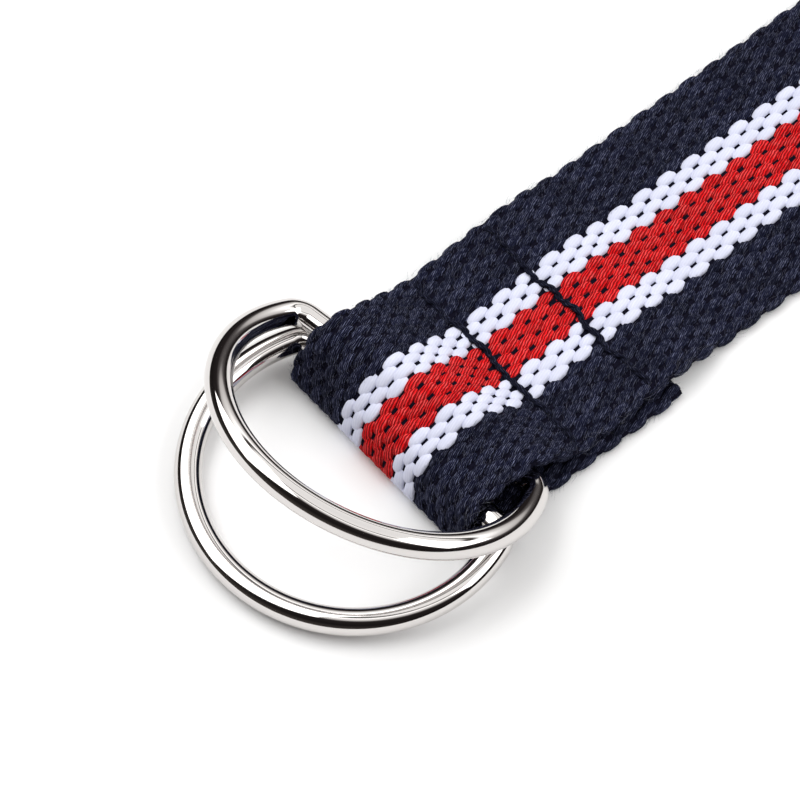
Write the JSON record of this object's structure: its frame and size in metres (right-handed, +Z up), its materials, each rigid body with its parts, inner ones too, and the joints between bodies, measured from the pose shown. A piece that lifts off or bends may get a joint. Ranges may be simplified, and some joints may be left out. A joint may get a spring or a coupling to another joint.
{
  "type": "double ring belt end",
  "caption": "End of a woven fabric belt: a striped strap folded through two D-shaped wire rings and sewn back on itself, for threading and gripping the strap's free end.",
  "frame": {"origin": "on the flat underside of the strap's under layer, below the first row of sewing, at the middle of the row", "axes": "+X along the strap from the fold towards the free end, +Y across the strap, +Z up from the surface that it lies on"},
  "size_m": [0.1354, 0.0516, 0.0228],
  "materials": {
    "webbing": "coarse woven cotton, navy with a red stripe between two white ones",
    "polished_steel": "polished nickel-plated steel wire"
  },
  "bodies": {
    "strap": {"strap": "webbing"},
    "lower_ring": {"ring_lower": "polished_steel"},
    "upper_ring": {"ring_upper": "polished_steel"}
  },
  "joints": [
    {"name": "ring_lower_swing", "type": "hinge", "parent": "strap", "child": "lower_ring", "pos_m": [-0.0175, -0.00228, 0.00473], "axis": [0.0084, 0.9998, -0.0174], "range_deg": [0, 15]},
    {"name": "ring_upper_swing", "type": "hinge", "parent": "strap", "child": "upper_ring", "pos_m": [-0.01343, -0.00015, 0.00718], "axis": [-0.1849, 0.9789, 0.0871], "range_deg": [0, 100]}
  ]
}
